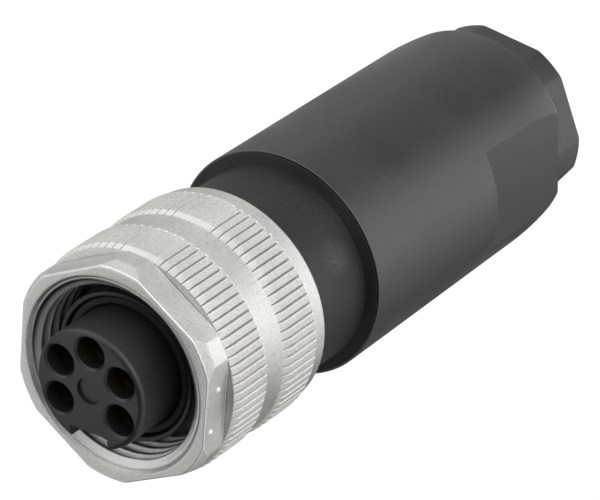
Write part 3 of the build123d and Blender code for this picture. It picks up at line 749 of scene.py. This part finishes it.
def moulding(name, dark, light, rough, gloss, grain_height, specks, rubbed=None):
    """A moulded plastic or rubber: slow tone, fine grain in its bump and roughness, and sparse pale specks.

    The dark and light tones are RGB, the grain's height is in metres, and specks is how much of a speck shows. With
    rubbed, a point in metres, the grain turns pale within RUBBED_REACH of that point.
    """
    made, tree, shader, place = material(name, rough)
    shader.inputs["Specular IOR Level"].default_value = gloss
    surface = use_group(tree, grain, place, Fine=4200.0, Coarse=1100.0, Slow=75.0)
    speck = use_group(tree, dust, place, Fine=5200.0, Patch=160.0)
    pale = tuple(level + PALER for level in light)
    tone = blended(tree, surface.outputs["Tone"], dark, light)
    tone = layered(tree, ranged(tree, surface.outputs["Grain"], 0.0, 0.5), tone, tuple(0.4 * level for level in dark))
    tone = layered(tree, ranged(tree, speck.outputs["Mask"], 0.0, specks), tone, pale)
    # Painted highlight where the mesh carries one, along the shell's front lip.
    tone = layered(tree, ranged(tree, named_value(tree, "edge_highlight"), 0.0, 0.8), tone, pale)
    if rubbed:
        gap = node(tree, "ShaderNodeVectorMath", operation="DISTANCE")
        gap.inputs[1].default_value = rubbed
        near = node(tree, "ShaderNodeMapRange",
                    inputs={"From Min": 0.0, "From Max": RUBBED_REACH, "To Min": 1.3, "To Max": 0.0})
        speckled = node(tree, "ShaderNodeMath", operation="MULTIPLY")
        join(tree, (place, gap.inputs[0]), (gap.outputs["Value"], near.inputs["Value"]),
             (near.outputs["Result"], speckled.inputs[0]), (surface.outputs["Grain"], speckled.inputs[1]))
        tone = layered(tree, speckled.outputs[0], tone, pale)
    both = node(tree, "ShaderNodeMath", operation="ADD")
    join(tree, (ranged(tree, surface.outputs["Tone"], rough - 0.07, rough + 0.09), both.inputs[0]),
         (ranged(tree, named_value(tree, "matte"), 0.0, 0.22), both.inputs[1]),
         (tone, shader.inputs["Base Color"]), (both.outputs[0], shader.inputs["Roughness"]))
    bumped(tree, shader, surface.outputs["Height"], grain_height)
    return made


def bright_metal(name, dark, light, rough):
    """Plated contact or screw metal with a faint mottle."""
    made, tree, shader, place = material(name, rough, 1.0)
    surface = use_group(tree, grain, place, Fine=5200.0, Coarse=1600.0, Slow=400.0)
    join(tree, (blended(tree, surface.outputs["Tone"], dark, light), shader.inputs["Base Color"]),
         (ranged(tree, surface.outputs["Tone"], rough - 0.04, rough + 0.06), shader.inputs["Roughness"]))
    bumped(tree, shader, surface.outputs["Height"], 0.000003)
    return made


nickel = plated_casting()
shell_black = moulding("moulded_black", dark=(0.009, 0.009, 0.0093), light=(0.020, 0.020, 0.0205),
                       rough=0.30, gloss=1.0, grain_height=0.000016, specks=0.8)
# A copy of the black moulding for the neck and the spigot collar: its darker base colour is painted shade.
shaded_neck_black = moulding("shaded_neck_black", dark=(0.006, 0.006, 0.0062), light=(0.014, 0.014, 0.0144),
                      rough=0.36, gloss=0.60, grain_height=0.000016, specks=0.9, rubbed=RUBBED_POINT)
gland_black = moulding("gland_black", dark=(0.007, 0.007, 0.0072), light=(0.026, 0.026, 0.0265),
                       rough=0.36, gloss=0.92, grain_height=0.00003, specks=1.0)
insert_black = moulding("insert_black", dark=(0.014, 0.014, 0.0145), light=(0.019, 0.019, 0.0195),
                        rough=0.44, gloss=0.7, grain_height=0.00001, specks=0.1)
rubber = moulding("seal_black", dark=(0.016, 0.016, 0.016), light=(0.022, 0.022, 0.022),
                  rough=0.62, gloss=0.5, grain_height=0.000006, specks=0.1)
washer_grey = moulding("washer_grey", dark=(0.30, 0.30, 0.29), light=(0.38, 0.38, 0.37),
                       rough=0.5, gloss=0.5, grain_height=0.000004, specks=0.0)
plated_brass = bright_metal("plated_brass", dark=(0.70, 0.56, 0.30), light=(0.82, 0.68, 0.40), rough=0.28)
plated_steel = bright_metal("plated_steel", dark=(0.56, 0.56, 0.55), light=(0.66, 0.66, 0.65), rough=0.32)


# Pieces in the scene

sleeve = knurled_sleeve()
head = hexagonal_head()
thread = inner_thread()
pips = [cast_pip("nut_cast_pip_1", 2.28, 75.9), cast_pip("nut_cast_pip_2", -2.67, 76.85)]
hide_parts("coupling_nut")
for piece in (sleeve, head, thread, *pips):
    put_on(piece, nickel)

housing = front_housing()
barrel = back_shell()
gland = gland_nut()
collar, seal = collar_and_seal()
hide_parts("front_housing")
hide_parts("back_shell")
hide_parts("gland_nut")
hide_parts("retaining_collar")
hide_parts("face_seal")
for piece, finish in ((housing, shaded_neck_black), (barrel, shell_black), (gland, gland_black), (collar, shaded_neck_black)):
    put_on(piece, finish)
put_on(seal, rubber)
insert = smooth_copy("contact_insert", nodes["contact_carrier"], "housing", 30)
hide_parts("contact_carrier")
put_on(insert, insert_black)

finishes = {"thrust_washer": washer_grey, "lock_ring": washer_grey, "clamp_cage": washer_grey,
            "friction_washer": washer_grey, "shell_seal": rubber, "cable_seal": rubber}
finishes.update({f"contact_socket_{number}": plated_brass for number in range(1, 6)})
finishes.update({f"terminal_screw_{number}": plated_steel for number in range(1, 6)})
for name, finish in finishes.items():
    put_on(nodes[name], finish)

# Stage, lamps and camera

FLOOR_DEPTH = 0.014         # metres under the gland nut, so that the floor doesn't hide it when it is screwed out
FLOOR_REACH = 2.0           # metres
GLOW_SEEN = 0.93            # the floor's glow to the camera
GLOW_MIRRORED = 1.3         # the floor's greatest glow in reflections
GLOW_AROUND = (0.22, 0.42, 0.08, 0.06, 0.09, 0.46, 1.05, 1.02, 0.27, 0.32, 0.42, 0.30, 0.22)    # every 30 degrees
ROOM_GLOW = 0.06            # the world's glow to all but the camera
AIM_HEIGHT = 0.05           # metres, where the lamps point on the axis
LAMP_DISTANCE = 0.38        # metres
LAMP_SIZE = 0.32            # metres
SOFTBOXES = (               # azimuth, elevation and power in watts
    (0, 12, 0.16), (45, 12, 0.67), (90, 12, 0.29), (135, 12, 0.36), (315, 12, 0.235),
    (90, 45, 0.155), (135, 45, 0.13), (180, 45, 0.165), (225, 45, 0.175),
)
CAMERA_LENS = 270.03        # millimetres on a sensor SENSOR_WIDTH wide
SENSOR_WIDTH = 36.0
CAMERA_PLACE = (            # turned and moved as fitted to the photo, in metres
    (0.82237211, -0.30075535, 0.48295997, 0.24866),
    (0.03346406, 0.8729612, 0.48664042, 0.250357),
    (-0.56796503, -0.38403771, 0.72796344, 0.416977),
    (0, 0, 0, 1),
)


def white_paper():
    """The floor's material: white to the camera with the shadows kept, a fitted glow by direction in reflections.

    All other rays meet a plain pale sheet, so the floor's glow puts no light on the connector's matt surfaces.
    """
    paper = bpy.data.materials.new("white_floor")
    paper.use_nodes = True
    tree = paper.node_tree
    tree.nodes.clear()
    rays = node(tree, "ShaderNodeLightPath")
    seen = node(tree, "ShaderNodeMath", operation="MAXIMUM")
    board = node(tree, "ShaderNodeBsdfDiffuse", inputs={"Color": (0.8, 0.8, 0.8, 1)})
    thin = node(tree, "ShaderNodeBsdfDiffuse", inputs={"Color": (0.3, 0.3, 0.3, 1)})
    spot = node(tree, "ShaderNodeTexCoord")
    sweep = node(tree, "ShaderNodeTexGradient", gradient_type="RADIAL")
    cards = node(tree, "ShaderNodeValToRGB")
    stops = cards.color_ramp.elements
    for number, level in enumerate(GLOW_AROUND):
        place = number / (len(GLOW_AROUND) - 1)
        stop = stops[number] if number < 2 else stops.new(place)
        stop.position = place
        stop.color = (level / GLOW_MIRRORED,) * 3 + (1,)
    mirrored = node(tree, "ShaderNodeMath", operation="MULTIPLY", inputs={1: GLOW_MIRRORED})
    strength = node(tree, "ShaderNodeMix", data_type="FLOAT", inputs={3: GLOW_SEEN})
    glow = node(tree, "ShaderNodeEmission", inputs={"Color": (1, 1, 1, 1)})
    both = node(tree, "ShaderNodeAddShader")
    mix = node(tree, "ShaderNodeMixShader")
    out = node(tree, "ShaderNodeOutputMaterial")
    join(tree, (rays.outputs["Is Camera Ray"], seen.inputs[0]), (rays.outputs["Is Glossy Ray"], seen.inputs[1]),
         (spot.outputs["Object"], sweep.inputs["Vector"]), (sweep.outputs["Fac"], cards.inputs["Fac"]),
         (cards.outputs["Color"], mirrored.inputs[0]), (rays.outputs["Is Camera Ray"], strength.inputs[0]),
         (mirrored.outputs[0], strength.inputs[2]), (strength.outputs[0], glow.inputs["Strength"]),
         (seen.outputs[0], mix.inputs[0]), (board.outputs[0], mix.inputs[1]), (thin.outputs[0], both.inputs[0]),
         (glow.outputs[0], both.inputs[1]), (both.outputs[0], mix.inputs[2]), (mix.outputs[0], out.inputs["Surface"]))
    return paper


def white_room():
    """The world: white where the camera sees it, and faint everywhere else."""
    world = bpy.data.worlds.new("white_room")
    world.use_nodes = True
    tree = world.node_tree
    background = tree.nodes["Background"]
    background.inputs["Color"].default_value = (1, 1, 1, 1)
    rays = node(tree, "ShaderNodeLightPath")
    strength = node(tree, "ShaderNodeMath", operation="MAXIMUM", inputs={1: ROOM_GLOW})
    join(tree, (rays.outputs["Is Camera Ray"], strength.inputs[0]),
         (strength.outputs[0], background.inputs["Strength"]))
    return world


def softbox(azimuth, elevation, energy):
    """A square area lamp that faces the connector's middle from this azimuth and elevation, its power in watts."""
    level = math.radians(elevation)
    around = math.radians(azimuth)
    away = Vector((math.cos(around) * math.cos(level), math.sin(around) * math.cos(level), math.sin(level)))
    light = bpy.data.lights.new(f"softbox_{azimuth}_{elevation}", "AREA")
    light.shape = "SQUARE"
    light.size = LAMP_SIZE
    light.energy = energy
    lamp = bpy.data.objects.new(light.name, light)
    bpy.context.scene.collection.objects.link(lamp)
    lamp.location = Vector((0, 0, AIM_HEIGHT)) + away * LAMP_DISTANCE
    lamp.rotation_euler = away.to_track_quat("Z", "Y").to_euler()


edges = (-FLOOR_REACH, FLOOR_REACH)
floor_mesh = bpy.data.meshes.new("floor")
floor_mesh.from_pydata([(x, y, -FLOOR_DEPTH) for x in edges for y in edges], [], [(0, 2, 3, 1)])
floor_mesh.materials.append(white_paper())
floor = bpy.data.objects.new("floor", floor_mesh)
bpy.context.scene.collection.objects.link(floor)
bpy.context.scene.world = white_room()
for azimuth, elevation, energy in SOFTBOXES:
    softbox(azimuth, elevation, energy)

camera_data = bpy.data.cameras.new("camera")
camera_data.sensor_fit = "HORIZONTAL"
camera_data.sensor_width = SENSOR_WIDTH
camera_data.lens = CAMERA_LENS
camera_data.clip_start = 0.01
camera = bpy.data.objects.new("camera", camera_data)
bpy.context.scene.collection.objects.link(camera)
camera.matrix_world = Matrix(CAMERA_PLACE)
bpy.context.scene.camera = camera
bpy.context.scene.view_settings.view_transform = "Standard"
